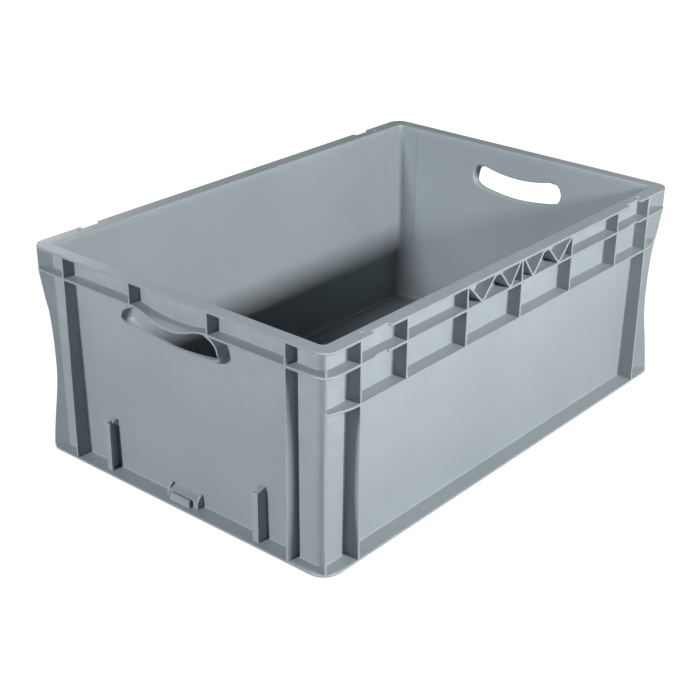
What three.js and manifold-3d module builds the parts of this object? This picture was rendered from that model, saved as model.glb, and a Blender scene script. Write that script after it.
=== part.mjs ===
// Stacking crate, 600 x 400 x 238 mm, closed floor and walls, open hand grips in both ends.
// Millimetres, +Z up, origin at the middle of the footprint, on the surface the foot rests on.
// The moulding is laid out as its structural members: floor, walls, corners, rim, flanges, ribs,
// corner fins, trusses, hand grips and the card holders. Neighbours that meet on a flat plane share it;
// members that meet the drafted tub stay GAP away from it.
import * as THREE from 'three';
import { mergeVertices } from 'three/addons/utils/BufferGeometryUtils.js';
import Module from 'manifold-3d';

const wasm = await Module();
wasm.setup();

// ---- driving dimensions -------------------------------------------------------------------
const HX = 300;                 // half footprint, long direction
const HY = 200;                 // half footprint, short direction
const HEIGHT = 238;             // foot underside to rim top
const RIM_T = 2.6;              // rim thickness
const RIM_R = 16;               // rim outer corner radius
const OUT_X = [281.8, 286.6];   // tub outer half size along X, at z = 0 and z = HEIGHT
const OUT_Y = [180.2, 185.0];   // tub outer half size along Y
const TUB_R = 10.5;             // tub outer corner radius
const WALL = 2.5;               // wall thickness
const FLOOR_T = 2.6;            // floor thickness
const COL_X = [286.8, 288.0];   // corner column outer half size along X
const COL_Y = [183.6, 185.8];   // corner column outer half size along Y
const COL_R = 10;               // corner column edge radius
const COL_FROM_X = 258;         // the column swells out beyond these stations
const COL_FROM_Y = 155;
const SPLIT_X = 254;            // long wall / corner split
const SPLIT_Y = 152;            // end wall / corner split
const BASE_Z = [6, 8.4];        // base flange, underside and top
const BASE_R = 20;              // base flange corner radius
const UPPER_Z = [211.4, 214];   // upper flange, runs all round
const LOWER_Z = [171.8, 174.4]; // lower flange, long sides only
const RIB_T = 2.6;              // rib thickness
const RIB_X = [-186, -93, 0, 93, 186];
const POST_X = 252.5;           // full height posts on the long sides
const RIB_Y = 53;               // short ribs beside the hand grips
const POST_Y = 150.5;           // full height posts on the ends
const FIN_T = 2.2;              // diagonal corner fin
const GAP = 0.3;                // clearance to drafted faces
const LOCK = 5;                 // outer strip of a flange that stays whole where a rib crosses it
const NOTCH_X = [210, 234];     // lid clip notches in the rim
const NOTCH_D = 5;
const FLANGE_NOTCH_X = [214, 232]; // shallower notches below them in the upper flange
const SEAL = { x: 241.5, y: 191.5, r: 2 };
const GRIP_HALF = 49.7;         // half length of the dipped grip shelf
const GRIP_DIP_WALL = 6.8;      // how far the shelf dips at the wall
const GRIP_DIP_LIP = 3.0;       // how much further it dips at the lip
const COLLAR_T = 2.4;
const HOLE = [                  // half outline of the hand hole (y, z), middle of the lower edge to the upper corner
  [0, 178.4], [10, 178.6], [20, 179.4], [30, 180.4], [40, 181.6], [48, 182.8], [54, 184.3], [58.8, 186.4],
  [62.2, 189.2], [64.2, 192.6], [64.9, 196.2], [64.2, 200.0], [62.4, 203.2], [59.6, 205.8], [56.0, 208.0],
  [52.0, 209.8], [48.0, 211.0],
];
const FIN_EDGE = [              // corner fin outer edge: distance in from the sharp corner along the diagonal, height
  [8.2, 8.4], [8.6, 16], [10.0, 30], [11.9, 47], [15.2, 74], [16.5, 96], [16.4, 118], [15.5, 141], [13.8, 163],
  [11.5, 176], [8.6, 196], [6.9, 208], [6.7, 235.4],
];

// ---- helpers ------------------------------------------------------------------------------
function solid(geometry) {
  const g = geometry.index ? geometry.toNonIndexed() : geometry.clone();
  for (const name of Object.keys(g.attributes)) if (name !== 'position') g.deleteAttribute(name);
  const merged = mergeVertices(g, 1e-3);
  return new wasm.Manifold(new wasm.Mesh({
    numProp: 3,
    vertProperties: new Float32Array(merged.attributes.position.array),
    triVerts: new Uint32Array(merged.index.array),
  }));
}
function geometryOf(body) {
  const mesh = body.getMesh();
  const g = new THREE.BufferGeometry();
  g.setAttribute('position', new THREE.BufferAttribute(new Float32Array(mesh.vertProperties), 3));
  g.setIndex(new THREE.BufferAttribute(new Uint32Array(mesh.triVerts), 1));
  g.computeVertexNormals();
  return g;
}
const shapeOf = (points) => new THREE.Shape(points.map(([x, y]) => new THREE.Vector2(x, y)));
function placed(points, depth, matrix, steps = 1) {
  const g = new THREE.ExtrudeGeometry(shapeOf(points), { depth, steps, bevelEnabled: false });
  return g.applyMatrix4(matrix);
}
const basis = (a, b, c, at) => new THREE.Matrix4()
  .makeBasis(new THREE.Vector3(...a), new THREE.Vector3(...b), new THREE.Vector3(...c)).setPosition(...at);
// prism from an outline in plan, between two heights
const prismXY = (points, z0, z1) => solid(placed(points, z1 - z0, basis([1, 0, 0], [0, 1, 0], [0, 0, 1], [0, 0, z0])));
// prism from an outline in (y, z), between two stations along X
const prismYZ = (points, x0, x1) => solid(placed(points, x1 - x0, basis([0, 1, 0], [0, 0, 1], [1, 0, 0], [x0, 0, 0])));
// prism from an outline in (x, z), between two stations along Y
const prismXZ = (points, y0, y1) => solid(placed(points, y1 - y0, basis([1, 0, 0], [0, 0, 1], [0, -1, 0], [0, y1, 0])));
function box(x0, x1, y0, y1, z0, z1) {
  const g = new THREE.BoxGeometry(x1 - x0, y1 - y0, z1 - z0);
  g.translate((x0 + x1) / 2, (y0 + y1) / 2, (z0 + z1) / 2);
  return solid(g);
}
function roundedRect(hx, hy, r, n = 7) {
  const pts = [];
  for (const [sx, sy, from] of [[1, 1, 0], [-1, 1, 90], [-1, -1, 180], [1, -1, 270]]) {
    for (let i = 0; i <= n; i++) {
      const t = THREE.MathUtils.degToRad(from + (90 * i) / n);
      pts.push([sx * (hx - r) + r * Math.cos(t), sy * (hy - r) + r * Math.sin(t)]);
    }
  }
  return pts;
}
const at = ([low, high], z) => low + ((high - low) * z) / HEIGHT;
// rounded rectangular block whose sides lean, given at z = 0 and z = HEIGHT
function leaning(sx, sy, r, grow, z0, z1) {
  const top = [at(sx, z1) + grow, at(sy, z1) + grow];
  const bottom = [at(sx, z0) + grow, at(sy, z0) + grow];
  const g = placed(roundedRect(top[0], top[1], Math.max(r + grow, 1)), z1 - z0, basis([1, 0, 0], [0, 1, 0], [0, 0, 1], [0, 0, z0]));
  const p = g.attributes.position;
  for (let i = 0; i < p.count; i++) {
    if (p.getZ(i) > (z0 + z1) / 2) continue;
    p.setX(i, p.getX(i) + Math.sign(p.getX(i)) * (bottom[0] - top[0]));
    p.setY(i, p.getY(i) + Math.sign(p.getY(i)) * (bottom[1] - top[1]));
  }
  return solid(g);
}
const union = (list) => list.reduce((a, b) => a.add(b));
const QUADRANTS = [[-1, -1], [1, -1], [-1, 1], [1, 1]];
const quadrant = (sx, sy, x, y, z0, z1) => box(
  sx > 0 ? x : -400, sx > 0 ? 400 : -x, sy > 0 ? y : -300, sy > 0 ? 300 : -y, z0, z1);

// the outside of the tub with its corner columns, grown by a clearance
function tubOutside(grow) {
  const column = leaning(COL_X, COL_Y, COL_R, grow, -1, HEIGHT + 1);
  const corners = QUADRANTS.map(([sx, sy]) => column.intersect(
    quadrant(sx, sy, COL_FROM_X - grow, COL_FROM_Y - grow, -1, HEIGHT + 1)));
  return union([leaning(OUT_X, OUT_Y, TUB_R, grow, -1, HEIGHT + 1), ...corners]);
}
const keepOff = tubOutside(GAP);

// ---- scene --------------------------------------------------------------------------------
const crate = new THREE.Group();
function material(color) {
  return new THREE.MeshStandardMaterial({ color, roughness: 0.48, metalness: 0 });
}
const GREY = 0x9aa3a8;
function add(name, body, color = GREY) {
  const mesh = new THREE.Mesh(geometryOf(body), material(color));
  mesh.name = name;
  crate.add(mesh);
}

// ---- tub: floor, walls, corners -----------------------------------------------------------
const wallTop = HEIGHT - RIM_T;
const inX = OUT_X.map((v) => v - WALL);
const inY = OUT_Y.map((v) => v - WALL);
const tubBlock = leaning(OUT_X, OUT_Y, TUB_R, 0, 0, wallTop);
const hollow = leaning(inX, inY, TUB_R - WALL, 0, -1, HEIGHT + 1);
const shell = tubBlock.subtract(hollow).intersect(box(-400, 400, -300, 300, FLOOR_T, wallTop));
add('floor_panel', tubBlock.intersect(box(-400, 400, -300, 300, 0, FLOOR_T)));

const longStrip = box(-SPLIT_X, SPLIT_X, -300, 300, 0, HEIGHT);
const endStrip = box(-400, 400, -SPLIT_Y, SPLIT_Y, 0, HEIGHT);
const half = { front: box(-400, 400, -300, 0, 0, HEIGHT), rear: box(-400, 400, 0, 300, 0, HEIGHT) };
add('front_wall', shell.intersect(longStrip).intersect(half.front));
add('rear_wall', shell.intersect(longStrip).intersect(half.rear));

const columnBlock = leaning(COL_X, COL_Y, COL_R, 0, BASE_Z[0], wallTop).subtract(hollow);
for (const [name, sx, sy] of [['front_left', -1, -1], ['front_right', 1, -1], ['rear_left', -1, 1], ['rear_right', 1, 1]]) {
  const tubPart = shell.intersect(quadrant(sx, sy, SPLIT_X, SPLIT_Y, 0, HEIGHT));
  const swell = columnBlock.intersect(quadrant(sx, sy, COL_FROM_X, COL_FROM_Y, BASE_Z[0], wallTop));
  add(`${name}_corner`, tubPart.add(swell));
}

// hand hole outline, whole
const wave = (y) => {
  const t = Math.min(1, Math.max(0, (Math.abs(y) - 8) / 38));
  return 0.5 * (1 + Math.cos(Math.PI * t));
};
const shelfUnder = (y) => UPPER_Z[0] - GRIP_DIP_WALL * wave(y);
const topCurve = [];
for (let y = 46; y >= -46; y -= 4) topCurve.push([y, shelfUnder(y) - 0.2]);
const right = HOLE;
const left = HOLE.slice(1).reverse().map(([y, z]) => [-y, z]);
const holeOutline = [...right, ...topCurve, ...left];
const holePrism = prismYZ(holeOutline, -320, -260);
const turned = (body) => {
  const g = geometryOf(body);
  g.rotateZ(Math.PI);
  return solid(g);
};
const leftWall = shell.intersect(endStrip).intersect(box(-400, 0, -300, 300, 0, HEIGHT)).subtract(holePrism);
const rightWall = shell.intersect(endStrip).intersect(box(0, 400, -300, 300, 0, HEIGHT)).subtract(turned(holePrism));
add('left_end_wall', leftWall);
add('right_end_wall', rightWall);

// ---- rim ----------------------------------------------------------------------------------
const plate = (r, z0, z1) => prismXY(roundedRect(HX, HY, r), z0, z1);
const notches = (span, z0, z1, depth) => union(QUADRANTS.map(([sx, sy]) => box(
  sx > 0 ? span[0] : -span[1], sx > 0 ? span[1] : -span[0],
  sy > 0 ? HY - depth : -HY - 5, sy > 0 ? HY + 5 : -HY + depth, z0, z1)));
function sealHole(sx, sy) {
  const g = new THREE.CylinderGeometry(SEAL.r, SEAL.r, 10, 14);
  g.rotateX(Math.PI / 2);
  g.translate(sx * SEAL.x, sy * SEAL.y, HEIGHT - 2);
  return solid(g);
}
const opening = prismXY(roundedRect(at(inX, wallTop), at(inY, wallTop), TUB_R - WALL), 200, 260);
add('top_rim', plate(RIM_R, wallTop, HEIGHT).subtract(opening)
  .subtract(notches(NOTCH_X, 230, 250, NOTCH_D)).subtract(union(QUADRANTS.map(([sx, sy]) => sealHole(sx, sy)))));

// ---- flanges ------------------------------------------------------------------------------
// slots that let a rib at station s pass through a flange, leaving the outer strip whole
function slotX(x, sy, z0, z1) {
  const w = RIB_T / 2 + GAP;
  return box(x - w, x + w, sy > 0 ? 150 : -HY + LOCK, sy > 0 ? HY - LOCK : -150, z0, z1);
}
function slotY(y, sx, z0, z1) {
  const w = RIB_T / 2 + GAP;
  return box(sx > 0 ? 250 : -HX + LOCK, sx > 0 ? HX - LOCK : -250, y - w, y + w, z0, z1);
}
// a vertical plate standing on the diagonal of corner (sx, sy); outline in (distance in, height)
function diagonalPlate(outline, thickness, sx, sy) {
  const a = Math.SQRT1_2;
  const inward = [-sx * a, -sy * a, 0];
  const up = [0, 0, 1];
  const side = [inward[1] * up[2] - inward[2] * up[1], inward[2] * up[0] - inward[0] * up[2], inward[0] * up[1] - inward[1] * up[0]];
  return solid(placed(outline, thickness, basis(inward, up, side, [
    sx * HX - (side[0] * thickness) / 2, sy * HY - (side[1] * thickness) / 2, 0])));
}
const finReach = 30;
const finSlots = (z0, z1, keep) => union(QUADRANTS.map(([sx, sy]) => diagonalPlate(
  [[keep, z0], [finReach, z0], [finReach, z1], [keep, z1]], FIN_T + 2 * GAP, sx, sy)));

const upperBlank = plate(RIM_R, ...UPPER_Z).subtract(keepOff)
  .subtract(notches(FLANGE_NOTCH_X, UPPER_Z[0] - 5, UPPER_Z[1] + 5, 2))
  .subtract(union([-1, 1].flatMap((sy) => [...RIB_X, -POST_X, POST_X].map((x) => slotX(x, sy, 205, 220)))))
  .subtract(union([-1, 1].flatMap((sx) => [-POST_Y, POST_Y].map((y) => slotY(y, sx, 205, 220)))))
  .subtract(finSlots(205, 220, 6.7 + 4));
add('front_upper_flange', upperBlank.intersect(box(-400, 400, -300, -GRIP_HALF - GAP, 200, 220)));
add('rear_upper_flange', upperBlank.intersect(box(-400, 400, GRIP_HALF + GAP, 300, 200, 220)));

function lowerFlange(sy) {
  const tip = 12.4 * Math.SQRT1_2;
  const curve = new THREE.CubicBezierCurve(
    new THREE.Vector2(POST_X + 2, HY), new THREE.Vector2(POST_X + 18, HY),
    new THREE.Vector2(HX - tip - 10, HY - tip + 3), new THREE.Vector2(HX - tip, HY - tip));
  const arc = curve.getPoints(8).map((p) => [p.x, p.y]);
  const outline = [...arc, [HX - 24, HY - 24], [0, HY - 24], [-(HX - 24), HY - 24],
    ...arc.slice().reverse().map(([x, y]) => [-x, y])];
  const pts = sy > 0 ? outline.slice().reverse() : outline.map(([x, y]) => [x, -y]);
  const [z0, z1] = LOWER_Z;
  return prismXY(pts, z0, z1).subtract(keepOff).subtract(finSlots(165, 180, -5))
    .subtract(union([-POST_X, POST_X].map((x) => slotX(x, sy, 165, 180))));
}
function largest(body) {
  return body.decompose().sort((a, b) => b.volume() - a.volume())[0];
}
add('front_lower_flange', largest(lowerFlange(-1)));
add('rear_lower_flange', largest(lowerFlange(1)));
add('base_flange', plate(BASE_R, ...BASE_Z).subtract(keepOff));

// ---- ribs, posts, fins --------------------------------------------------------------------
// outline of a rib in (distance out from the middle plane, height) with a notch at each flange it crosses
function ribOutline(reach, foot, crossings) {
  const pts = [[reach - 32, foot], [reach, foot]];
  for (const [z0, z1] of crossings) {
    pts.push([reach, z0 - GAP], [reach - LOCK - GAP, z0 - GAP], [reach - LOCK - GAP, z1 + GAP], [reach, z1 + GAP]);
  }
  pts.push([reach, wallTop], [reach - 32, wallTop]);
  return pts;
}
function longRib(x, sy, foot, crossings) {
  const outline = ribOutline(HY, foot, crossings).map(([d, z]) => [sy * d, z]);
  return prismYZ(sy > 0 ? outline : outline.reverse(), x - RIB_T / 2, x + RIB_T / 2).subtract(keepOff);
}
function endRib(y, sx, foot, crossings) {
  const outline = ribOutline(HX, foot, crossings).map(([d, z]) => [sx * d, z]);
  return prismXZ(sx > 0 ? outline : outline.reverse(), y - RIB_T / 2, y + RIB_T / 2).subtract(keepOff);
}
for (const [side, sy] of [['front', -1], ['rear', 1]]) {
  add(`${side}_post_left`, longRib(-POST_X, sy, BASE_Z[1], [LOWER_Z, UPPER_Z]));
  RIB_X.forEach((x, i) => add(`${side}_rib_${i + 1}`, longRib(x, sy, LOWER_Z[1], [UPPER_Z])));
  add(`${side}_post_right`, longRib(POST_X, sy, BASE_Z[1], [LOWER_Z, UPPER_Z]));
}
for (const [side, sx] of [['left', -1], ['right', 1]]) {
  add(`${side}_post_front`, endRib(-POST_Y, sx, BASE_Z[1], [UPPER_Z]));
  add(`${side}_rib_front`, endRib(-RIB_Y, sx, UPPER_Z[1], []));
  add(`${side}_rib_rear`, endRib(RIB_Y, sx, UPPER_Z[1], []));
  add(`${side}_post_rear`, endRib(POST_Y, sx, BASE_Z[1], [UPPER_Z]));
}
const lockDepth = 6.7 + 4 + GAP;
const finOutline = [];
for (const p of FIN_EDGE) {
  if (p[1] >= UPPER_Z[1]) {
    finOutline.push([6.9, UPPER_Z[0] - GAP], [lockDepth, UPPER_Z[0] - GAP], [lockDepth, UPPER_Z[1] + GAP], [6.8, UPPER_Z[1] + GAP]);
  }
  finOutline.push(p);
}
finOutline.push([finReach, wallTop], [finReach, BASE_Z[1]]);
finOutline.reverse();
for (const [name, sx, sy] of [['front_left', -1, -1], ['front_right', 1, -1], ['rear_left', -1, 1], ['rear_right', 1, 1]]) {
  add(`${name}_fin`, diagonalPlate(finOutline, FIN_T, sx, sy).subtract(keepOff));
}

// ---- trusses between the middle ribs, above the upper flange --------------------------------
function web(x0, x1, low) {
  // slanting web from (x0, top) to (x1, bottom) of the bay
  const t = 1.15;
  return [[x0 - t, wallTop + 1], [x1 - t, low - 1], [x1 + t, low - 1], [x0 + t, wallTop + 1]];
}
function truss(sx, sy) {
  const low = UPPER_Z[1];
  const y0 = sy > 0 ? 170 : -HY;
  const y1 = sy > 0 ? HY : -170;
  const pieces = [[90.2, 69.2], [47.5, 66.8], [38.5, 21.6], [4.6, 19.4]].map(([a, b]) => {
    const pts = web(sx * a, sx * b, low);
    return prismXZ(pts, y0, y1);
  });
  pieces.push(box(Math.min(sx * 47.5, sx * 38.5), Math.max(sx * 47.5, sx * 38.5), y0, y1, wallTop - 1.6, wallTop + 1));
  pieces.push(box(Math.min(sx * 71, sx * 65), Math.max(sx * 71, sx * 65), y0, y1, low - 1, low + 1.6));
  pieces.push(box(Math.min(sx * 23.2, sx * 17.8), Math.max(sx * 23.2, sx * 17.8), y0, y1, low - 1, low + 1.6));
  const bay = box(sx > 0 ? 1.6 : -91.4, sx > 0 ? 91.4 : -1.6, -300, 300, low, wallTop);
  return union(pieces).intersect(bay).subtract(keepOff);
}
for (const [side, sy] of [['front', -1], ['rear', 1]]) {
  add(`${side}_truss_left`, truss(-1, sy));
  add(`${side}_truss_right`, truss(1, sy));
}

// ---- hand grips: dipped shelf above the hole and the collar round it -------------------------
function grip() {
  const top = [];
  const under = [];
  for (let i = 0; i <= 24; i++) {
    const y = -GRIP_HALF + (2 * GRIP_HALF * i) / 24;
    under.push([y, shelfUnder(y)]);
    top.push([y, shelfUnder(y) + UPPER_Z[1] - UPPER_Z[0]]);
  }
  const depth = 20;
  const g = placed([...under, ...top.reverse()], depth, basis([0, 1, 0], [0, 0, 1], [1, 0, 0], [-HX, 0, 0]), 6);
  const p = g.attributes.position;
  for (let i = 0; i < p.count; i++) {
    const s = Math.min(1, Math.max(0, (-p.getX(i) - 286) / (HX - 286)));
    p.setZ(i, p.getZ(i) - GRIP_DIP_LIP * wave(p.getY(i)) * s * s);
  }
  const shelf = solid(g);
  // collar: a band outside the hole outline, from under one end of the shelf round to the other
  const inner = [[-45, UPPER_Z[0] - 0.4], ...left, ...right, [45, UPPER_Z[0] - 0.4]];
  const outer = inner.map((pt, i) => {
    const a = inner[Math.max(0, i - 1)];
    const b = inner[Math.min(inner.length - 1, i + 1)];
    const n = [b[1] - a[1], -(b[0] - a[0])];
    const l = Math.hypot(...n);
    return [pt[0] + (n[0] / l) * COLLAR_T, pt[1] + (n[1] / l) * COLLAR_T];
  });
  const band = prismYZ([...inner.slice().reverse(), ...outer], -HX, -270);
  const ceiling = union([
    box(-310, -260, -90, -GRIP_HALF, UPPER_Z[0] - GAP, 230), box(-310, -260, GRIP_HALF, 90, UPPER_Z[0] - GAP, 230),
    box(-310, -260, -90, 90, UPPER_Z[1] - 1, 230)]);
  // the outer edge of the collar leans back towards the wall below the shelf
  const recede = prismXZ([[-310, 160], [-288.3, 160], [-288.5, 178.5], [-290.6, 182.5], [-293.4, 187], [-297.2, 192],
    [-HX, 196.5], [-310, 196.5]], -90, 90);
  return shelf.add(band.subtract(ceiling).subtract(recede)).subtract(keepOff);
}
const leftGrip = grip();
add('left_hand_grip', leftGrip);
add('right_hand_grip', turned(leftGrip));

// ---- card holders on the ends ----------------------------------------------------------------
const onFlange = BASE_Z[1];
const [CARD_OUT, CARD_IN] = [-294.8, -292.4]; // outer and inner face of the lips that hold a card
// an upright of L section: a stem on the wall, a lip in front of the card's edge, and a stop at the top
function prong(lip, stem) {
  const lipBody = box(CARD_OUT, CARD_IN, lip[0], lip[1], onFlange, 63.2);
  const stemBody = prismXZ([[CARD_OUT, onFlange], [-270, onFlange], [-270, 65.6], [-286.5, 65.6], [CARD_OUT, 63.2]], stem[0], stem[1]);
  const stop = prismXZ([[-289.4, 62.6], [-284, 58.6], [-270, 58.6], [-270, 65.6], [-286.5, 65.6], [-289.4, 64.4]], lip[0], lip[1]);
  return union([lipBody, stemBody, stop]).subtract(keepOff);
}
// a flap in front of a ledge, with a gusset at each end
function clip() {
  const gusset = (a, b) => prismXZ([[-290.8, onFlange], [-270, onFlange], [-270, 22], [-285, 22], [-288, 19], [-290.3, 14]], a, b);
  const ledge = prismXZ([[-289.8, onFlange], [-270, onFlange], [-270, 18.6], [-283, 18.6], [-289.8, 16.2]], -19.6, 19.6);
  const flap = prismXZ([[-294.6, onFlange], [-289.7, onFlange], [-289.7, 10], [-292.3, 10], [-292.3, 17], [-294.6, 17]], -14, 14);
  return union([gusset(19.5, 21.8), gusset(-21.8, -19.5), ledge, flap]).subtract(keepOff);
}
const rearProng = prong([100.2, 107.3], [103.9, 107.3]);
const frontProng = prong([-109.3, -101.6], [-109.3, -105.9]);
const middleClip = clip();
add('left_card_prong_rear', rearProng);
add('left_card_prong_front', frontProng);
add('left_card_clip', middleClip);
add('right_card_prong_front', turned(rearProng));
add('right_card_prong_rear', turned(frontProng));
add('right_card_clip', turned(middleClip));

export default crate;
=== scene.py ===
"""Stacking crate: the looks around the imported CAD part. Lengths below are millimetres unless a name says otherwise."""

import math

import bmesh
import bpy
from mathutils import Matrix, Vector


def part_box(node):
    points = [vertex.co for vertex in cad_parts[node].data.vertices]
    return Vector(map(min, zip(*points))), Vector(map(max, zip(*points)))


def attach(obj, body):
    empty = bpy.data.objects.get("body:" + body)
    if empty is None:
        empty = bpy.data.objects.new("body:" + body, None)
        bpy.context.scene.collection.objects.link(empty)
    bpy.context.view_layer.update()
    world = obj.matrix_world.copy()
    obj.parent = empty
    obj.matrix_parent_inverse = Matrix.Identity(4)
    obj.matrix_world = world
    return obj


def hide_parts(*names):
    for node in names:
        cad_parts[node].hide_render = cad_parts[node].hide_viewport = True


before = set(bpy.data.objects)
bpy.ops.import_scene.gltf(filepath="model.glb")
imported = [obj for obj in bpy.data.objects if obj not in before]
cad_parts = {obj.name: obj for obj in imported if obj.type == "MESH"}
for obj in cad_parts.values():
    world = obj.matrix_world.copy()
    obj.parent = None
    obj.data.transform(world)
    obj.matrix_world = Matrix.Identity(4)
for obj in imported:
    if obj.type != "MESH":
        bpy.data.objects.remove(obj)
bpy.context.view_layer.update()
scene = bpy.context.scene
MM = 0.001


def span(node, axis):
    lo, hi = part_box(node)
    return lo[axis] / MM, hi[axis] / MM


def middle(node, axis):
    lo, hi = span(node, axis)
    return (lo + hi) / 2


# ---- sizes, from the CAD nodes ---------------------------------------------------------------
HX = span("top_rim", 0)[1]
HY = span("top_rim", 1)[1]
RIM_Z = span("top_rim", 2)
HEIGHT = RIM_Z[1]
UPPER_Z = span("front_upper_flange", 2)
LOWER_Z = span("front_lower_flange", 2)
BASE_Z = span("base_flange", 2)
FLOOR_T = span("floor_panel", 2)[1]
RIB_X = [middle(f"front_rib_{i}", 0) for i in range(1, 6)]
POST_X = span("front_post_right", 0)
POST_X = (POST_X[0] + POST_X[1]) / 2
POST_Y = middle("left_post_rear", 1)
RIB_Y = middle("left_rib_rear", 1)
RIB_T = 2.6
FIN_T = 2.2
RIM_R, BASE_R = 16.0, 20.0
OUT_X, OUT_Y, TUB_R = (281.8, 286.6), (180.2, 185.0), 10.5
COL_X, COL_Y, COL_R = (286.8, 288.0), (183.6, 185.8), 10.0
WALL = 2.5
COL_FROM_X, COL_FROM_Y = 258.0, 155.0
GRIP_HALF, DIP_WALL, DIP_LIP = 49.7, 6.8, 3.0
NOTCH_X, NOTCH_D = (210.0, 234.0), 5.0
FLANGE_NOTCH_X, FLANGE_NOTCH_D = (214.0, 232.0), 2.0
SEAL = (241.5, 191.5, 2.0)
FIN_EDGE = [
    (8.2, 8.4), (8.6, 16), (10.0, 30), (11.9, 47), (15.2, 74), (16.5, 96), (16.4, 118), (15.5, 141), (13.8, 163),
    (11.5, 176), (8.6, 196), (6.9, 208), (6.7, 235.4),
]
HOLE = [
    (0, 178.4), (10, 178.6), (20, 179.4), (30, 180.4), (40, 181.6), (48, 182.8), (54, 184.3), (58.8, 186.4),
    (62.2, 189.2), (64.2, 192.6), (64.9, 196.2), (64.2, 200.0), (62.4, 203.2), (59.6, 205.8), (56.0, 208.0),
    (52.0, 209.8), (48.0, 211.0),
]
WALL_HOLE = [   # the same outline where it passes through the wall: squarer upper corners
    (0, 178.4), (10, 178.6), (20, 179.4), (30, 180.4), (40, 181.6), (48, 182.8), (54, 184.3), (58.6, 186.6),
    (61.8, 189.8), (63.5, 193.6), (64.0, 197.8), (63.4, 201.6), (62.0, 205.0), (59.8, 207.9), (56.8, 210.0),
    (53.2, 211.0), (49.4, 211.2),
]
EDGE = 0.8   # rounding of exposed edges
ROOT = 1.3   # fillet where a member meets the wall


def at(pair, z):
    return pair[0] + (pair[1] - pair[0]) * z / HEIGHT


def wave(y):
    """How far the lip of a grip hangs down at y: flat in the middle, then an easy run up to the flange."""
    t = min(1.0, max(0.0, (abs(y) - 5) / 44))
    return 0.5 * (1 + math.cos(math.pi * t))


def bow(y):
    """The same for the foot of the grip at the wall, which is a plain arc."""
    return max(0.0, 1 - (y / GRIP_HALF) ** 2)


def arc(n, a0=0.0, a1=90.0):
    return [math.radians(a0 + (a1 - a0) * i / n) for i in range(n + 1)]


# ---- mesh building ---------------------------------------------------------------------------
class Shell:
    """Collects lofted surfaces, in millimetres."""

    def __init__(self):
        self.verts = []
        self.faces = []

    def loft(self, loops, wrap=True, ring=False, caps=False, strip_caps=False):
        """Joins loops of equal length. wrap: each loop is closed. ring: the last loop meets the first.
        caps: closes the first and last loop, or the two open ends when wrap is off."""
        n, base = len(loops[0]), len(self.verts)
        for loop in loops:
            self.verts.extend(loop)
        m = len(loops)
        idx = lambda j, i: base + (j % m) * n + (i % n)
        for j in range(m if ring else m - 1):
            for i in range(n if wrap else n - 1):
                self.faces.append((idx(j, i), idx(j, i + 1), idx(j + 1, i + 1), idx(j + 1, i)))
        if caps and wrap:
            for j in (0, m - 1):
                if strip_caps:
                    for i in range(n // 2 - 1):
                        self.faces.append((idx(j, i), idx(j, i + 1), idx(j, n - 2 - i), idx(j, n - 1 - i)))
                else:
                    self.faces.append(tuple(idx(j, i) for i in range(n)))
        elif caps:
            for i in (0, n - 1):
                self.faces.append(tuple(idx(j, i) for j in range(m)))
        return self

    def move(self, f):
        self.verts = [f(v) for v in self.verts]
        return self

    def copy(self):
        s = Shell()
        s.verts, s.faces = list(self.verts), list(self.faces)
        return s

    def add(self, other):
        base = len(self.verts)
        self.verts.extend(other.verts)
        self.faces.extend(tuple(base + i for i in f) for f in other.faces)
        return self

    def turned(self):
        """Half a turn about Z."""
        return self.copy().move(lambda v: (-v[0], -v[1], v[2]))


def offset(pts, d, closed=True):
    """A polyline moved d to its right, the outside of an anticlockwise loop."""
    n, out = len(pts), []
    for i in range(n):
        a = pts[(i - 1) % n] if closed or i > 0 else None
        b = pts[(i + 1) % n] if closed or i < n - 1 else None
        p = pts[i]
        normals = []
        for s, e in ((a, p), (p, b)):
            if s is None or e is None:
                continue
            dx, dy = e[0] - s[0], e[1] - s[1]
            l = math.hypot(dx, dy)
            if l > 1e-9:
                normals.append((dy / l, -dx / l))
        nx, ny = sum(v[0] for v in normals), sum(v[1] for v in normals)
        l = math.hypot(nx, ny)
        nx, ny = nx / l, ny / l
        c = max(0.6, nx * normals[0][0] + ny * normals[0][1])
        out.append((p[0] + nx * d / c, p[1] + ny * d / c))
    return out


def smooth_line(pts, per=4):
    """Catmull-Rom through the points."""
    out, n = [], len(pts)
    for i in range(n - 1):
        p0, p1, p2, p3 = pts[max(0, i - 1)], pts[i], pts[i + 1], pts[min(n - 1, i + 2)]
        for k in range(per):
            t = k / per
            out.append(tuple(
                0.5 * (2 * p1[c] + (p2[c] - p0[c]) * t + (2 * p0[c] - 5 * p1[c] + 4 * p2[c] - p3[c]) * t * t
                       + (3 * p1[c] - p0[c] - 3 * p2[c] + p3[c]) * t ** 3) for c in (0, 1)))
    out.append(tuple(pts[-1]))
    return out


def lay(pts, z):
    return [(x, y, z) for x, y in pts]


def outward(bm):
    """Turns each closed shell so that its faces look out."""
    left = set(bm.faces)
    while left:
        todo, island = [left.pop()], []
        while todo:
            f = todo.pop()
            island.append(f)
            for e in f.edges:
                for g in e.link_faces:
                    if g in left:
                        left.remove(g)
                        todo.append(g)
        volume = 0.0
        for f in island:
            c = [l.vert.co for l in f.loops]
            for i in range(1, len(c) - 1):
                volume += c[0].dot(c[i].cross(c[i + 1]))
        if volume < 0:
            bmesh.ops.reverse_faces(bm, faces=island)


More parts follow.
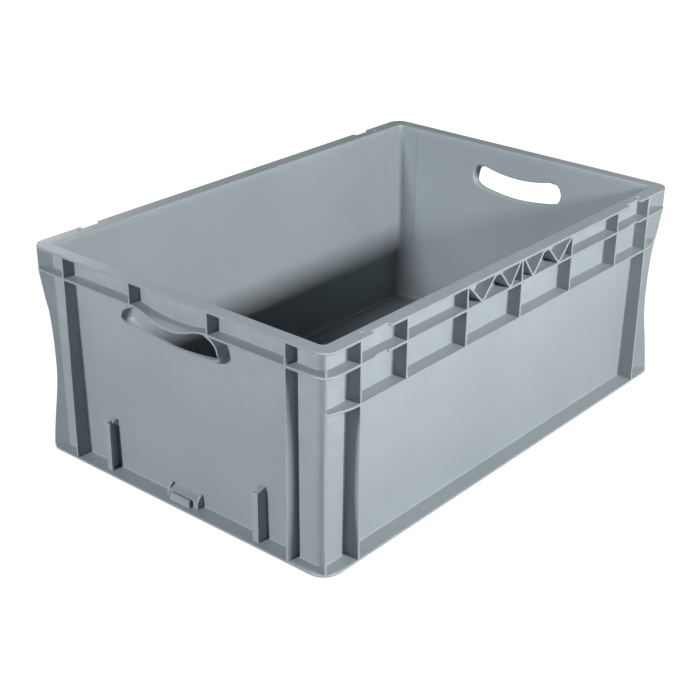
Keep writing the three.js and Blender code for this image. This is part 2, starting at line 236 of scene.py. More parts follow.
def make(name, shell, nodes, sharp=38.0, keep=False):
    me = bpy.data.meshes.new(name)
    me.from_pydata([(x * MM, y * MM, z * MM) for x, y, z in shell.verts], [], shell.faces)
    bm = bmesh.new()
    bm.from_mesh(me)
    bmesh.ops.remove_doubles(bm, verts=bm.verts, dist=2e-7)
    bmesh.ops.dissolve_degenerate(bm, edges=bm.edges, dist=1e-8)
    bmesh.ops.recalc_face_normals(bm, faces=bm.faces)
    outward(bm)
    bm.to_mesh(me)
    bm.free()
    ob = bpy.data.objects.new(name, me)
    scene.collection.objects.link(ob)
    if not keep:
        finish_piece(ob, nodes, sharp)
    return ob


def bake_modifiers(ob):
    dg = bpy.context.evaluated_depsgraph_get()
    dg.update()
    me = bpy.data.meshes.new_from_object(ob.evaluated_get(dg), preserve_all_data_layers=True, depsgraph=dg)
    old = ob.data
    ob.modifiers.clear()
    ob.data = me
    me.name = ob.name
    bpy.data.meshes.remove(old)


def boolean(ob, cutter, operation="DIFFERENCE"):
    m = ob.modifiers.new("cut", "BOOLEAN")
    m.operation, m.solver, m.object = operation, "EXACT", cutter
    bake_modifiers(ob)
    bpy.data.objects.remove(cutter)


def bevel(ob, width, segments=2, angle=35.0):
    m = ob.modifiers.new("edges", "BEVEL")
    m.width, m.segments, m.limit_method, m.angle_limit = width * MM, segments, "ANGLE", math.radians(angle)
    m.use_clamp_overlap = True
    bake_modifiers(ob)


PIECES = []


def finish_piece(ob, nodes, sharp=38.0):
    me = ob.data
    me.polygons.foreach_set("use_smooth", [True] * len(me.polygons))
    me.set_sharp_from_angle(angle=math.radians(sharp))
    w = ob.modifiers.new("normals", "WEIGHTED_NORMAL")
    w.keep_sharp, w.weight, w.mode = True, 80, "FACE_AREA"
    bake_modifiers(ob)
    ob.data.materials.clear()
    ob.data.materials.append(PLASTIC)
    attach(ob, "root")
    if nodes:
        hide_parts(*nodes)
    PIECES.append(ob)


# ---- material --------------------------------------------------------------------------------
def plastic():
    mat = bpy.data.materials.new("grey_polypropylene")
    mat.use_nodes = True
    nt = mat.node_tree
    nt.nodes.clear()
    new, link = nt.nodes.new, nt.links.new
    out = new("ShaderNodeOutputMaterial")
    bsdf = new("ShaderNodeBsdfPrincipled")
    link(bsdf.outputs["BSDF"], out.inputs["Surface"])
    bsdf.inputs["IOR"].default_value = 1.49
    bsdf.inputs["Specular IOR Level"].default_value = 0.5
    coord = new("ShaderNodeTexCoord")
    place = coord.outputs["Object"]

    def noise(scale, detail, rough, source=place):
        n = new("ShaderNodeTexNoise")
        n.inputs["Scale"].default_value = scale
        n.inputs["Detail"].default_value = detail
        n.inputs["Roughness"].default_value = rough
        link(source, n.inputs["Vector"])
        return n.outputs["Fac"]

    def ramp(fac, stops):
        r = new("ShaderNodeValToRGB")
        r.color_ramp.elements[0].position, r.color_ramp.elements[0].color = stops[0]
        r.color_ramp.elements[1].position, r.color_ramp.elements[1].color = stops[-1]
        for pos, col in stops[1:-1]:
            e = r.color_ramp.elements.new(pos)
            e.color = col
        link(fac, r.inputs["Fac"])
        return r.outputs["Color"]

    def math_node(op, a, b, clamp=False):
        m = new("ShaderNodeMath")
        m.operation, m.use_clamp = op, clamp
        for s, v in ((m.inputs[0], a), (m.inputs[1], b)):
            if isinstance(v, (int, float)):
                s.default_value = v
            else:
                link(v, s)
        return m.outputs[0]

    def mix(fac, a, b, kind="MIX"):
        m = new("ShaderNodeMix")
        m.data_type, m.blend_type = "RGBA", kind
        ins = [s for s in m.inputs if s.type == "RGBA"]
        f = m.inputs[0]
        if isinstance(fac, (int, float)):
            f.default_value = fac
        else:
            link(fac, f)
        for s, v in ((ins[0], a), (ins[1], b)):
            if isinstance(v, tuple):
                s.default_value = v
            else:
                link(v, s)
        return [s for s in m.outputs if s.type == "RGBA"][0]

    # colour: the pigment drifts a little over the moulding, with fine specks of filler
    drift = ramp(noise(7.0, 3, 0.5), [(0.3, (0.246, 0.283, 0.302, 1)), (0.7, (0.273, 0.310, 0.328, 1))])
    specks = ramp(noise(900.0, 2, 0.6), [(0.42, (0.93, 0.93, 0.93, 1)), (0.6, (1.03, 1.03, 1.03, 1))])
    colour = mix(0.55, drift, specks, "MULTIPLY")
    # rub marks along the level direction, broken up by a coarse mask
    stretch = new("ShaderNodeMapping")
    stretch.inputs["Scale"].default_value = (14.0, 14.0, 420.0)
    link(place, stretch.inputs["Vector"])
    streak = ramp(noise(1.0, 5, 0.62, stretch.outputs["Vector"]), [(0.60, (0, 0, 0, 1)), (0.72, (1, 1, 1, 1))])
    patch = ramp(noise(13.0, 2, 0.5), [(0.50, (0, 0, 0, 1)), (0.66, (1, 1, 1, 1))])
    rub = math_node("MULTIPLY", streak, patch)
    # painted edge highlight and handling wear: the most exposed edges are painted slightly paler, standing in for
    # bright edge highlights as well as wear, and are smoother
    geometry = new("ShaderNodeNewGeometry")
    edge = ramp(geometry.outputs["Pointiness"], [(0.53, (0, 0, 0, 1)), (0.60, (1, 1, 1, 1))])
    edge_highlight_and_wear_mask = math_node("MULTIPLY", edge, ramp(noise(55.0, 3, 0.6), [(0.35, (0.25, 0.25, 0.25, 1)), (0.65, (1, 1, 1, 1))]))
    # rub wear plus the painted edge highlight, both mixed toward a paler grey
    wear_and_edge_highlight = math_node("ADD", math_node("MULTIPLY", rub, 0.10), math_node("MULTIPLY", edge_highlight_and_wear_mask, 0.20), True)
    link(mix(wear_and_edge_highlight, colour, (0.56, 0.60, 0.61, 1)), bsdf.inputs["Base Color"])
    # roughness: satin, with cloudy variation
    rough = math_node("ADD", math_node("MULTIPLY", noise(26.0, 4, 0.6), 0.16), 0.345)
    rough = math_node("ADD", rough, math_node("MULTIPLY", rub, 0.10))
    rough = math_node("SUBTRACT", rough, math_node("MULTIPLY", edge_highlight_and_wear_mask, 0.05), True)
    link(rough, bsdf.inputs["Roughness"])
    # relief: spark-eroded grain, and the long ripples of a thin moulded wall
    grain = new("ShaderNodeBump")
    grain.inputs["Strength"].default_value = 0.16
    grain.inputs["Distance"].default_value = 0.00012
    link(noise(1500.0, 2, 0.55), grain.inputs["Height"])
    ripple = new("ShaderNodeBump")
    ripple.inputs["Strength"].default_value = 0.30
    ripple.inputs["Distance"].default_value = 0.0007
    link(noise(22.0, 2, 0.45), ripple.inputs["Height"])
    link(grain.outputs["Normal"], ripple.inputs["Normal"])
    link(ripple.outputs["Normal"], bsdf.inputs["Normal"])
    return mat


PLASTIC = plastic()


# ---- stations round the crate -----------------------------------------------------------------
def mirrored(values):
    return sorted({round(s * v, 4) for v in values for s in (-1, 1)})


LONG_X = mirrored([0, 20, 40, 60, 80, 93, 110, 130, 150, 170, 186, 200, 245, 251, 257.3, 258.0, 258.7, 264, 270, 276]
                  + [209.0, 209.7, 210.0, 210.3, 211.0, 233.0, 233.7, 234.0, 234.3, 235.0]
                  + [213.2, 213.8, 214.1, 214.8, 231.2, 231.9, 232.2, 232.8, 222])
END_Y = mirrored([0, 3, 6, 9, 12, 15, 18, 21, 24, 27, 30, 33, 36, 39, 42, 45, 47.5, GRIP_HALF, 53, 60, 75, 90, 105, 120, 135,
                  148, 152, 154.3, 155.0, 155.7, 160, 164])
CORNER = 8
STATIONS = []
for s in (-1, 1):
    STATIONS += [("x", s, x if s < 0 else -x) for x in LONG_X]
    STATIONS += [("c", -s, s, i) for i in range(CORNER + 1)]
    STATIONS += [("y", -s, y if s < 0 else -y) for y in END_Y]
    STATIONS += [("c", -s, -s, i) for i in range(CORNER + 1)]


TUB_X = mirrored([0, 93, 186, 255.8, 257.3, 258.0, 258.7, 260.2, 264, 276])
TUB_Y = mirrored([90, 152.8, 154.3, 155.0, 155.7, 157.2, 164])
TUB_STATIONS = []
for s in (-1, 1):
    TUB_STATIONS += [("x", s, x if s < 0 else -x) for x in TUB_X]
    TUB_STATIONS += [("c", -s, s, i) for i in range(CORNER + 1)]
    TUB_STATIONS += [("y", -s, y if s < 0 else -y) for y in TUB_Y]
    TUB_STATIONS += [("c", -s, -s, i) for i in range(CORNER + 1)]


def outline(hx, hy, r, side_x=lambda x: 0.0, side_y=lambda y: 0.0, stations=None):
    """Points of a rounded rectangle at the stations. side_x and side_y push the sides outwards."""
    pts = []
    for st in stations or STATIONS:
        if st[0] == "x":
            x, last = st[2], min(LONG_X[-1], hx - r - 0.3)
            if abs(x) > 264:
                x = math.copysign(264 + (abs(x) - 264) * (last - 264) / (LONG_X[-1] - 264), x)
            pts.append((x, st[1] * (hy + side_x(st[2]))))
        elif st[0] == "y":
            pts.append((st[1] * (hx + side_y(st[2])), st[2]))
        else:
            _, sx, sy, i = st
            first = {(1, -1): -90, (1, 1): 0, (-1, 1): 90, (-1, -1): 180}[(sx, sy)]
            a = math.radians(first + 90 * i / CORNER)
            pts.append((sx * (hx - r) + r * math.cos(a), sy * (hy - r) + r * math.sin(a)))
    return pts


def step(v, edge, width=0.7):
    t = min(1.0, max(0.0, (abs(v) - edge + width) / (2 * width)))
    return t * t * (3 - 2 * t)


def tub_outline(z, columns=True, stations=None):
    """Outside of the tub wall at height z, with the corner columns."""
    if not columns:
        return outline(at(OUT_X, z), at(OUT_Y, z), TUB_R, stations=stations)
    cx, cy = at(COL_X, z), at(COL_Y, z)
    dx, dy = cx - at(OUT_X, z), cy - at(OUT_Y, z)
    return outline(cx, cy, COL_R, lambda x: -dy * (1 - step(x, COL_FROM_X)), lambda y: -dx * (1 - step(y, COL_FROM_Y)), stations)


def inner_outline(z, stations=None):
    """Inside of the tub wall; the corners stand back a little behind the columns, below the rim."""
    d = 0.7 * min(1.0, max(0.0, (230 - z) / 14)) * min(1.0, max(0.0, (z - 4) / 10))
    r = 5.0 + 3.0 * min(1.0, max(0.0, (30 - z) / 20))
    return outline(at(OUT_X, z) - WALL + d, at(OUT_Y, z) - WALL + d, r, lambda x: -d * (1 - step(x, COL_FROM_X, 2.2)),
                   lambda y: -d * (1 - step(y, COL_FROM_Y, 2.2)), stations)


def notch(span_x, depth, round_=0.7):
    lo, hi = span_x

    def f(x):
        a = abs(x)
        inside = step(a, lo, 0.35) * (1 - step(a, hi, 0.35))
        return -depth * inside
    return f


def plate(outer, wall, z0, z1, r=EDGE, below=ROOT, above=ROOT, embed=1.0, closed=True, n=4):
    """Cross-section loops of a plate standing out from the wall: filleted at the wall, rounded at the outer edge.
    outer is a list of points; wall(z) gives the wall outline at height z."""
    loops = [lay(offset(wall(z0 - below), -embed, closed), z0 - below)]
    if below > 0:
        for a in arc(n, 180, 90):
            z = z0 - below + below * math.sin(a)
            loops.append(lay(offset(wall(z), below + below * math.cos(a) - 0.01, closed), z))
    for a in arc(n):
        loops.append(lay(offset(outer, -(r - r * math.sin(a)), closed), z0 + r - r * math.cos(a)))
    for a in arc(n):
        loops.append(lay(offset(outer, -(r - r * math.cos(a)), closed), z1 - r + r * math.sin(a)))
    if above > 0:
        for a in arc(n):
            z = z1 + above - above * math.cos(a)
            loops.append(lay(offset(wall(z), above - above * math.sin(a) - 0.01, closed), z))
    loops.append(lay(offset(wall(z1 + above), -embed, closed), z1 + above))
    return loops


# ---- tub ---------------------------------------------------------------------------------------
def hole_line(half=HOLE):
    """Hand hole outline from the upper rear corner, down and round, to the upper front corner: (y, z)."""
    half = [(float(y), float(z)) for y, z in half]
    whole = [(-y, z) for y, z in reversed(half[1:])] + half
    return smooth_line(whole, 4)


def shelf_under(y):
    return UPPER_Z[0] - DIP_WALL * bow(y)


def hole_outline():
    line = hole_line(WALL_HOLE)
    top = [(y, min(shelf_under(y) - 0.15, 205.3 + 6.4 * (y / 50) ** 2)) for y in [47 - 2 * i for i in range(48)]]
    return line + top


def end_cutter():
    loop = offset(hole_outline(), 0.04)   # anticlockwise seen from +X
    return Shell().loft([[(x, y, z) for y, z in loop] for x in (-330, -262)], caps=True)


tub = Shell()
loops = []
r = 1.6
for a in arc(4):
    loops.append(lay(offset(tub_outline(0, False, TUB_STATIONS), -(r - r * math.sin(a))), r - r * math.cos(a)))
loops.append(lay(tub_outline(7.0, False, TUB_STATIONS), 7.0))
for z in (7.2, 100, 236.0):
    loops.append(lay(tub_outline(z, stations=TUB_STATIONS), z))
for z in (236.0, 230, 216, 100, 14):
    loops.append(lay(inner_outline(z, TUB_STATIONS), z))
r = 4.5
for a in arc(6):
    z = FLOOR_T + r - r * math.sin(a)
    loops.append(lay(offset(inner_outline(z, TUB_STATIONS), -(r - r * math.cos(a))), z))
tub.loft(loops, caps=True)
tub_ob = make("tub", tub, [], keep=True)
for k in (0, 1):
    shell = end_cutter()
    boolean(tub_ob, make(f"cutter_{k}", shell if k == 0 else shell.turned(), [], keep=True))


def soften_hole(ob, width=1.9):
    """Rounds the edge of each hand hole on the inner face of the wall."""
    bm = bmesh.new()
    bm.from_mesh(ob.data)
    edges = []
    for e in bm.edges:
        inside = True
        for v in e.verts:
            x, y, z = v.co / MM
            if abs(abs(x) - (at(OUT_X, z) - WALL)) > 0.2 or abs(y) > 66 or not 177 < z < 212:
                inside = False
        if inside and len(e.link_faces) == 2 and e.calc_face_angle() > 0.7:
            edges.append(e)
    bmesh.ops.bevel(bm, geom=edges, offset=width * MM, offset_type="OFFSET", segments=4, profile=0.5, affect="EDGES", clamp_overlap=True)
    bm.to_mesh(ob.data)
    bm.free()


soften_hole(tub_ob)
finish_piece(tub_ob, ["floor_panel", "front_wall", "rear_wall", "left_end_wall", "right_end_wall",
                      "front_left_corner", "front_right_corner", "rear_left_corner", "rear_right_corner"])

# ---- rim ---------------------------------------------------------------------------------------
rim_outer = outline(HX, HY, RIM_R, notch(NOTCH_X, NOTCH_D))
r_in = 1.9
loops = [lay(offset(tub_outline(RIM_Z[0] - ROOT), -1.0), RIM_Z[0] - ROOT)]
for a in arc(4, 180, 90):
    z = RIM_Z[0] - ROOT + ROOT * math.sin(a)
    loops.append(lay(offset(tub_outline(z), ROOT + ROOT * math.cos(a) - 0.01), z))
for a in arc(4):
    loops.append(lay(offset(rim_outer, -(EDGE - EDGE * math.sin(a))), RIM_Z[0] + EDGE - EDGE * math.cos(a)))
for a in arc(4):
    loops.append(lay(offset(rim_outer, -(EDGE - EDGE * math.cos(a))), HEIGHT - EDGE + EDGE * math.sin(a)))
for a in arc(6):
    loops.append(lay(offset(inner_outline(236.0), r_in - r_in * math.sin(a) + 0.03), HEIGHT - r_in + r_in * math.cos(a)))
loops.append(lay(offset(inner_outline(234.5), 0.03), 234.5))
rim_ob = make("top_rim_moulding", Shell().loft(loops, ring=True), [], keep=True)
dimples = Shell()
for sx in (-1, 1):
    for sy in (-1, 1):
        x, y, rad = SEAL
        rings = []
        for rr, z in ((rad, 230.0), (rad, 237.4), (rad + 0.12, 237.75), (rad + 0.5, 238.02), (rad + 0.5, 239.0)):
            rings.append([(sx * x + rr * math.cos(t), sy * y + rr * math.sin(t), z) for t in arc(23, 0, 345)])
        dimples.loft(rings, caps=True)
boolean(rim_ob, make("dimples", dimples, [], keep=True))
finish_piece(rim_ob, ["top_rim"])

# ---- upper flange and hand grips ------------------------------------------------------------------
flange_outer = outline(HX, HY, RIM_R, notch(FLANGE_NOTCH_X, FLANGE_NOTCH_D))


def dip(v):
    """Lowers a point of the flange: an arc at the wall, a crease, then a lens shaped facet down to the lip."""
    x, y, z = v
    if abs(y) >= GRIP_HALF or abs(x) < 270:
        return v
    root = DIP_WALL * bow(y)
    lip = (DIP_WALL + DIP_LIP + 0.9) * wave(y)
    lens = math.sqrt(max(0.0, 1 - (y / 40) ** 2))
    crease = HX - 5.6 * lens
    wall = at(OUT_X, z) + 0.5
    top = root + (lip - root) * (1 - lens) if abs(y) > 40 else root
    f = min(1.0, max(0.0, (abs(x) - wall) / (crease - wall)))
    at_crease = root if lip >= root else lip
    at_crease = at_crease + (min(root, lip) - at_crease) * f
    if abs(x) <= crease:
        return (x, y, z - (root + (at_crease - root) * f * f * (3 - 2 * f)))
    g = (abs(x) - crease) / max(0.3, HX - crease)
    return (x, y, z - (at_crease + (lip - at_crease) * min(1.0, g)))


n_st = len(STATIONS)
left_grip = [i for i, st in enumerate(STATIONS) if st[0] == "y" and st[1] < 0 and abs(st[2]) <= GRIP_HALF + 0.01]
right_grip = [i for i, st in enumerate(STATIONS) if st[0] == "y" and st[1] > 0 and abs(st[2]) <= GRIP_HALF + 0.01]


def run(first, last):
    out, i = [], first
    while True:
        out.append(i % n_st)
        if i % n_st == last:
            return out
        i += 1


def arc_of(loops, indices):
    return [[loop[i] for i in indices] for loop in loops]


ring_loops = plate(flange_outer, tub_outline, *UPPER_Z)
grip_loops = plate(flange_outer, tub_outline, *UPPER_Z, below=0.0, r=1.1)
# more loops across the shelf, so that it can curve on its way out
top_at = len(grip_loops) - 6 - 0
front_upper = Shell().loft(arc_of(ring_loops, run(left_grip[-1], right_grip[0])), wrap=False, ring=True, caps=True)
rear_upper = Shell().loft(arc_of(ring_loops, run(right_grip[-1], left_grip[0])), wrap=False, ring=True, caps=True)
make("front_upper_flange_moulding", front_upper, ["front_upper_flange"])
make("rear_upper_flange_moulding", rear_upper, ["rear_upper_flange"])


def subdivided(loops, longest=2.0):
    """Adds loops between neighbours that are far apart, so that a bend stays smooth."""
    out = []
    m = len(loops)
    for j in range(m):
        a, b = loops[j], loops[(j + 1) % m]
        out.append(a)
        gap = max(math.dist(p, q) for p, q in zip(a, b))
        k = int(gap / longest)
        for t in range(1, k + 1):
            f = t / (k + 1)
            out.append([tuple(p[c] + (q[c] - p[c]) * f for c in range(3)) for p, q in zip(a, b)])
    return out


def recede(z):
    """How far out (|x|) the collar's outer edge stands at height z."""
    table = [(160, 288.3), (178.5, 288.5), (182.5, 290.6), (187, 293.4), (192, 297.2), (196.5, 300)]
    if z >= table[-1][0]:
        return HX - 0.1
    for (z0, x0), (z1, x1) in zip(table, table[1:]):
        if z <= z1:
            return x0 + (x1 - x0) * max(0.0, z - z0) / (z1 - z0) - 0.1
    return HX - 0.1


def strip(line, half):
    """Closed outline of a band along a line: one side out, the other side back."""
    return offset(line, half, False) + list(reversed(offset(line, -half, False)))


def collar():
    """A band round the hand hole, from the wall out to the lip. It changes from the outline in the wall to the one at the lip."""
    t, rr, f = 2.4, 0.9, 1.0
    mids = []
    for half in (WALL_HOLE, HOLE):
        line = hole_line(half)
        line = [(line[0][0], 212.3)] + line + [(line[-1][0], 212.3)]
        mids.append(offset(line, t / 2, False))
    n = len(mids[0])
    walls = [at(OUT_X, z) for _, z in mids[1]]
    tips = [recede(z) for _, z in mids[1]]
    loops = []

    def add_loop(depth, outer_half, inner_half):
        """depth(i) is |x| at point i of the band."""
        mid = []
        for i in range(n):
            k = min(1.0, max(0.0, (depth(i) - walls[i]) / 7.0))
            k = k * k * (3 - 2 * k)
            mid.append(tuple(mids[0][i][c] * (1 - k) + mids[1][i][c] * k for c in (0, 1)))
        outer = offset(mid, outer_half, False)
        inner = offset(mid, -inner_half, False)
        loops.append([(-depth(i), *outer[i]) for i in range(n)] + [(-depth(i), *inner[i]) for i in reversed(range(n))])

    add_loop(lambda i: walls[i] - 0.4, t / 2 + f, t / 2)
    for a in arc(4):
        add_loop(lambda i: min(walls[i] + f - f * math.cos(a), tips[i] - rr), t / 2 + f - f * math.sin(a), t / 2)
    for k in (0.25, 0.5, 0.75):
        add_loop(lambda i: max(min(walls[i] + f, tips[i] - rr), walls[i] + f + (tips[i] - rr - walls[i] - f) * k), t / 2, t / 2)
    for a in arc(4):
        add_loop(lambda i: tips[i] - rr + rr * math.sin(a), t / 2 - rr + rr * math.cos(a), t / 2 - rr + rr * math.cos(a))
    return Shell().loft(loops, caps=True, strip_caps=True)


shelf = Shell().loft(subdivided(arc_of(grip_loops, left_grip), 1.2), wrap=False, ring=True, caps=True)
shelf.move(dip)
grip = shelf.add(collar())
make("left_hand_grip_moulding", grip, ["left_hand_grip"], sharp=50)
make("right_hand_grip_moulding", grip.turned(), ["right_hand_grip"], sharp=50)

# ---- base flange -------------------------------------------------------------------------------
base_outer = outline(HX, HY, BASE_R)
loops = plate(base_outer, tub_outline, *BASE_Z, below=0.0, embed=3.5)
make("base_flange_moulding", Shell().loft(loops, ring=True), ["base_flange"])

# ---- lower flanges -------------------------------------------------------------------------------
def bezier(p0, p1, p2, p3, t):
    u = 1 - t
    return tuple(u ** 3 * p0[c] + 3 * u * u * t * p1[c] + 3 * u * t * t * p2[c] + t ** 3 * p3[c] for c in (0, 1))


low_stations = [("c", -1, -1, i) for i in range(CORNER // 2, CORNER + 1)] + [
    ("x", -1, x) for x in LONG_X] + [("c", 1, -1, i) for i in range(0, CORNER // 2 + 1)]
tip = 12.4 * math.sqrt(0.5)
ends = ((POST_X + 2, HY), (POST_X + 18, HY), (HX - tip - 10, HY - tip + 3), (HX - tip, HY - tip))
right_side = [i for i, st in enumerate(low_stations) if (st[0] == "x" and st[2] > POST_X + 2) or (st[0] == "c" and st[1] > 0)]
low_outer = []
for i, st in enumerate(low_stations):
    if i in right_side:
        t = (right_side.index(i) + 1) / len(right_side)
        x, y = bezier(*ends, t)
        low_outer.append((x, -y))
    elif (len(low_stations) - 1 - i) in right_side:
        t = (right_side.index(len(low_stations) - 1 - i) + 1) / len(right_side)
        x, y = bezier(*ends, t)
        low_outer.append((-x, -y))
    else:
        low_outer.append((st[2], -HY))
loops = plate(low_outer, lambda z: tub_outline(z, stations=low_stations), *LOWER_Z, closed=False)
lower = Shell().loft(loops, wrap=False, ring=True, caps=True)
make("front_lower_flange_moulding", lower, ["front_lower_flange"])
make("rear_lower_flange_moulding", lower.turned(), ["rear_lower_flange"])


# ---- ribs and posts ------------------------------------------------------------------------------
def rib_profile(wall, reach, t):
    """(across, out) outline of a rib: filleted at the wall, rounded at its outer edge."""
    half = [(t / 2 + ROOT, wall - 1.0)]
    half += [(t / 2 + ROOT - ROOT * math.sin(a), wall + ROOT - ROOT * math.cos(a) - 0.01) for a in arc(4)]
    half += [(t / 2 - EDGE + EDGE * math.cos(a), reach - EDGE + EDGE * math.sin(a)) for a in arc(4)]
    return half + [(-a, b) for a, b in reversed(half)]


def rib(pos, side, z0, z1, axis, t=RIB_T):
    """A rib at pos along the wall, on the side (-1 or 1) of the axis it stands out along."""
    wall = OUT_Y if axis == 1 else OUT_X
    reach = (HY if axis == 1 else HX) - 0.12
    loops = []
    for i in range(5):
        z = z0 + (z1 - z0) * i / 4
        prof = rib_profile(at(wall, z), reach, t)
        if axis == 1:
            loops.append([(pos + a, side * b, z) for a, b in prof])
        else:
            loops.append([(side * b, pos + a, z) for a, b in prof])
    return Shell().loft(loops, caps=True)


UNDER_RIM = RIM_Z[0] + 1.2
for name, side in (("front", -1), ("rear", 1)):
    for where, x in (("left", -POST_X), ("right", POST_X)):
        make(f"{name}_post_{where}_moulding", rib(x, side, BASE_Z[1] - 1.2, UNDER_RIM, 1), [f"{name}_post_{where}"])
    for i, x in enumerate(RIB_X):
        make(f"{name}_rib_{i + 1}_moulding", rib(x, side, LOWER_Z[1] - 1.2, UNDER_RIM, 1), [f"{name}_rib_{i + 1}"])
for name, side in (("left", -1), ("right", 1)):
    for where, s in (("front", -1), ("rear", 1)):
        make(f"{name}_post_{where}_moulding", rib(s * POST_Y, side, BASE_Z[1] - 1.2, UNDER_RIM, 0), [f"{name}_post_{where}"])
        make(f"{name}_rib_{where}_moulding", rib(s * RIB_Y, side, UPPER_Z[1] - 1.2, UNDER_RIM, 0), [f"{name}_rib_{where}"])


# ---- corner fins ---------------------------------------------------------------------------------
def fin(sx, sy):
    edge = [(d, z) for d, z in FIN_EDGE]
    edge = smooth_line(edge[:-1], 3) + [edge[-1]]
    edge[0] = (edge[0][0], BASE_Z[1] - 1.2)
    edge.append((edge[-1][0], UNDER_RIM))
    a = math.sqrt(0.5)
    inward = Vector((-sx * a, -sy * a))
    across = Vector((-inward.y, inward.x))
    loops = []
    f = 1.1
    for d, z in edge:
        cx, cy = at(COL_X, z) - COL_R * (1 - a), at(COL_Y, z) - COL_R * (1 - a)
        skin = (HX - cx + HY - cy) * a
        half = [(FIN_T / 2 + f, skin + 1.6), (FIN_T / 2 + f, skin + 0.25)]
        half += [(FIN_T / 2 + f - f * math.sin(b), skin - f + f * math.cos(b) + 0.1) for b in arc(3)]
        half += [(FIN_T / 2 - EDGE + EDGE * math.cos(b), d + 0.1 + EDGE - EDGE * math.sin(b)) for b in arc(4)]
        prof = half + [(-p, q) for p, q in reversed(half)]
        loops.append([tuple(Vector((sx * HX, sy * HY)) + inward * q + across * p) + (z,) for p, q in prof])
    return Shell().loft(loops, caps=True)


for name, sx, sy in (("front_left", -1, -1), ("front_right", 1, -1), ("rear_left", -1, 1), ("rear_right", 1, 1)):
    make(f"{name}_fin_moulding", fin(sx, sy), [f"{name}_fin"])


# ---- trusses ---------------------------------------------------------------------------------------
def rounded_path(points, radius, n=4):
    out = [points[0]]
    for a, p, b in zip(points, points[1:], points[2:]):
        p, va, vb = Vector(p), (Vector(a) - Vector(p)), (Vector(b) - Vector(p))
        k = min(radius, va.length * 0.45, vb.length * 0.45)
        s, e = p + va.normalized() * k, p + vb.normalized() * k
        for i in range(n + 1):
            t = i / n
            q = s * (1 - t) ** 2 + p * 2 * t * (1 - t) + e * t * t
            out.append((q.x, q.y))
    return out + [points[-1]]


def truss(sx, sy):
    low, high = UPPER_Z[1] + 0.35, RIM_Z[0] - 0.35
    path = [(91.2, high + 1.2), (90.0, high - 0.2), (69.6, low + 0.5), (66.4, low + 0.5), (47.3, high - 0.1), (38.7, high - 0.1),
            (22.0, low + 0.5), (19.0, low + 0.5), (4.4, high - 0.2), (3.6, high + 1.2)]
    path = rounded_path(path, 1.8)
    t = 2.3
    reach = HY - 0.12
    loops = []
    wall = at(OUT_Y, 224)
    levels = [(wall - 1.0, t / 2 + 0.9)] + [(wall + 0.9 - 0.9 * math.cos(a), t / 2 + 0.9 - 0.9 * math.sin(a)) for a in arc(3)]
    levels += [(reach - EDGE + EDGE * math.sin(a), t / 2 - EDGE + EDGE * math.cos(a)) for a in arc(4)]
    for y, half in levels:
        loops.append([(sx * p[0], sy * y, p[1]) for p in strip(path, half)])
    return Shell().loft(loops, caps=True, strip_caps=True)


for name, sy in (("front", -1), ("rear", 1)):
    make(f"{name}_truss_left_moulding", truss(-1, sy), [f"{name}_truss_left"])
    make(f"{name}_truss_right_moulding", truss(1, sy), [f"{name}_truss_right"])


# ---- card holders --------------------------------------------------------------------------------
def prism_xz(pts, y0, y1):
    return Shell().loft([[(x, y, z) for x, z in pts] for y in (y0, y1)], caps=True)


def block(x0, x1, y0, y1, z0, z1):
    return prism_xz([(x0, z0), (x1, z0), (x1, z1), (x0, z1)], y0, y1)


def fused(name, shells, width=0.45):
    ob = make(name, shells[0], [], keep=True)
    for s in shells[1:]:
        boolean(ob, make("part", s, [], keep=True), "UNION")
    bevel(ob, width)
    return ob


def prong(name, lip, stem, nodes, turn):
    foot = BASE_Z[1] - 1.0
    shells = [
        block(-294.8, -292.4, lip[0], lip[1], foot, 63.2),
        prism_xz([(-294.8, foot), (-281.9, foot), (-282.6, 65.6), (-286.5, 65.6), (-294.8, 63.2)], *stem),
        prism_xz([(-289.4, 62.6), (-284, 58.6), (-282.4, 58.6), (-282.4, 65.6), (-286.5, 65.6), (-289.4, 64.4)],
                 lip[0] + 0.01, lip[1] - 0.01),
    ]
    if turn:
        shells = [s.turned() for s in shells]
    finish_piece(fused(name, shells), nodes, 50)


def clip(name, nodes, turn):
    foot = BASE_Z[1] - 1.0
    side = [(-290.8, foot), (-281.4, foot), (-281.6, 22), (-285, 22), (-288, 19), (-290.3, 14)]
    shells = [
        prism_xz([(-289.8, foot), (-281.4, foot), (-281.5, 18.6), (-283, 18.6), (-289.8, 16.2)], -19.8, 19.8),
        prism_xz(side, 19.5, 21.8), prism_xz(side, -21.8, -19.5),
        prism_xz([(-294.6, foot), (-289.0, foot), (-289.0, 10), (-292.3, 10), (-292.3, 17), (-294.6, 17)], -14, 14),
    ]
    if turn:
        shells = [s.turned() for s in shells]
    finish_piece(fused(name, shells, 0.4), nodes, 50)


prong("left_card_prong_rear_moulding", (100.2, 107.3), (103.9, 107.3), ["left_card_prong_rear"], False)
prong("left_card_prong_front_moulding", (-109.3, -101.6), (-109.3, -105.9), ["left_card_prong_front"], False)
clip("left_card_clip_moulding", ["left_card_clip"], False)
prong("right_card_prong_front_moulding", (100.2, 107.3), (103.9, 107.3), ["right_card_prong_front"], True)
prong("right_card_prong_rear_moulding", (-109.3, -101.6), (-109.3, -105.9), ["right_card_prong_rear"], True)
clip("right_card_clip_moulding", ["right_card_clip"], True)

# ---- floor, light, camera ------------------------------------------------------------------------
bpy.ops.mesh.primitive_plane_add(size=14.0, location=(0, 0, -0.0002))
floor = bpy.context.object
floor.name = "studio_floor"
fm = bpy.data.materials.new("studio_floor")
fm.use_nodes = True
fb = fm.node_tree.nodes["Principled BSDF"]
fb.inputs["Base Color"].default_value = (0.28, 0.28, 0.28, 1)
fb.inputs["Roughness"].default_value = 0.9
fb.inputs["Specular IOR Level"].default_value = 0.1
fb.inputs["Emission Color"].default_value = (1, 1, 1, 1)
fb.inputs["Emission Strength"].default_value = 0.86
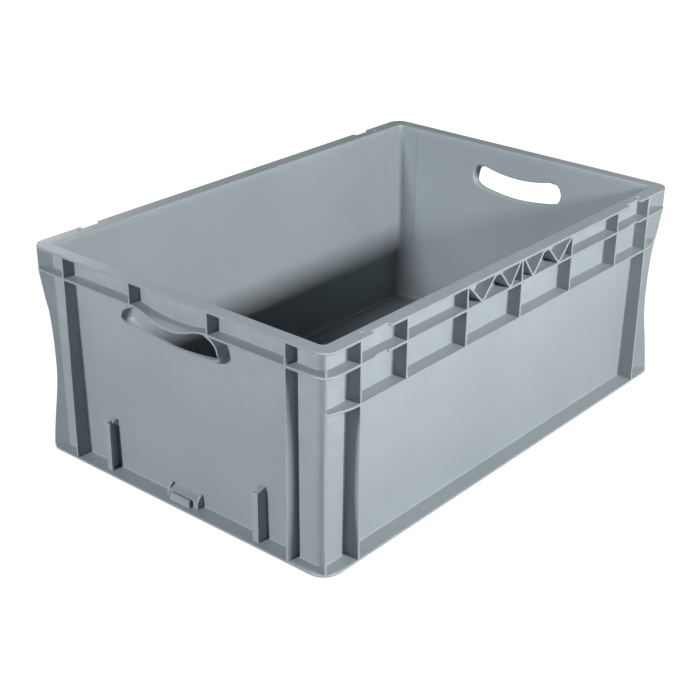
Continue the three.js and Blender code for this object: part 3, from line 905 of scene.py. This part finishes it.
# the floor looks near white and gives little light back
ft = fm.node_tree
dull = ft.nodes.new("ShaderNodeBsdfDiffuse")
dull.inputs["Color"].default_value = (0.28, 0.28, 0.28, 1)
ray = ft.nodes.new("ShaderNodeLightPath")
either = ft.nodes.new("ShaderNodeMixShader")
ft.links.new(ray.outputs["Is Camera Ray"], either.inputs[0])
ft.links.new(dull.outputs[0], either.inputs[1])
ft.links.new(fb.outputs[0], either.inputs[2])
ft.links.new(either.outputs[0], ft.nodes["Material Output"].inputs["Surface"])
floor.data.materials.append(fm)


def softbox(name, place, target, width, height, power, colour=(1, 1, 1)):
    data = bpy.data.lights.new(name, "AREA")
    data.shape, data.size, data.size_y, data.energy, data.color = "RECTANGLE", width, height, power, colour
    ob = bpy.data.objects.new(name, data)
    scene.collection.objects.link(ob)
    ob.location = place
    ob.rotation_euler = (Vector(target) - Vector(place)).to_track_quat("-Z", "Y").to_euler()
    return ob


softbox("key_front", (-0.02, -1.70, 0.87), (0, 0, 0.14), 0.54, 0.17, 48, (1.0, 0.995, 0.985))
softbox("side_left", (-2.98, 0.38, 1.54), (0, 0, 0.12), 0.42, 0.7, 105, (0.97, 0.985, 1.0))
softbox("front_right", (1.85, -2.70, 1.30), (0, 0, 0.12), 0.6, 0.5, 9)
softbox("back", (0.90, 2.80, 0.56), (0, 0, 0.12), 1.6, 0.5, 50)
softbox("side_right", (2.90, 0.10, 0.56), (0, 0, 0.12), 1.4, 0.5, 40)

world = bpy.data.worlds.new("studio")
scene.world = world
world.use_nodes = True
wt = world.node_tree
ambient = wt.nodes["Background"]
ambient.inputs["Color"].default_value = (0.95, 0.97, 1.0, 1)
ambient.inputs["Strength"].default_value = 0.006
backdrop = wt.nodes.new("ShaderNodeBackground")
backdrop.inputs["Color"].default_value = (0.97, 0.97, 0.97, 1)
seen = wt.nodes.new("ShaderNodeLightPath")
pick = wt.nodes.new("ShaderNodeMixShader")
wt.links.new(seen.outputs["Is Camera Ray"], pick.inputs[0])
wt.links.new(ambient.outputs[0], pick.inputs[1])
wt.links.new(backdrop.outputs[0], pick.inputs[2])
wt.links.new(pick.outputs[0], wt.nodes["World Output"].inputs["Surface"])
scene.view_settings.view_transform = "Standard"

camera_data = bpy.data.cameras.new("camera")
camera_data.sensor_width, camera_data.lens = 36.0, 73.995
camera_data.shift_x, camera_data.shift_y = -0.01827, -0.00597
camera_data.clip_end = 50
camera = bpy.data.objects.new("camera", camera_data)
scene.collection.objects.link(camera)
scene.camera = camera
az, el, roll = (math.radians(v) for v in (-50.556, 25.269, 0.801))
back = Vector((math.sin(az) * math.cos(el), -math.cos(az) * math.cos(el), math.sin(el)))
right = (-back).cross(Vector((0, 0, 1))).normalized()
up = right.cross(-back)
cam_x = right * math.cos(roll) + up * math.sin(roll)
cam_y = -right * math.sin(roll) + up * math.cos(roll)
m = Matrix((cam_x, cam_y, back)).transposed().to_4x4()
m.translation = Vector((-1.135605, -0.927283, 0.771557))
camera.matrix_world = m
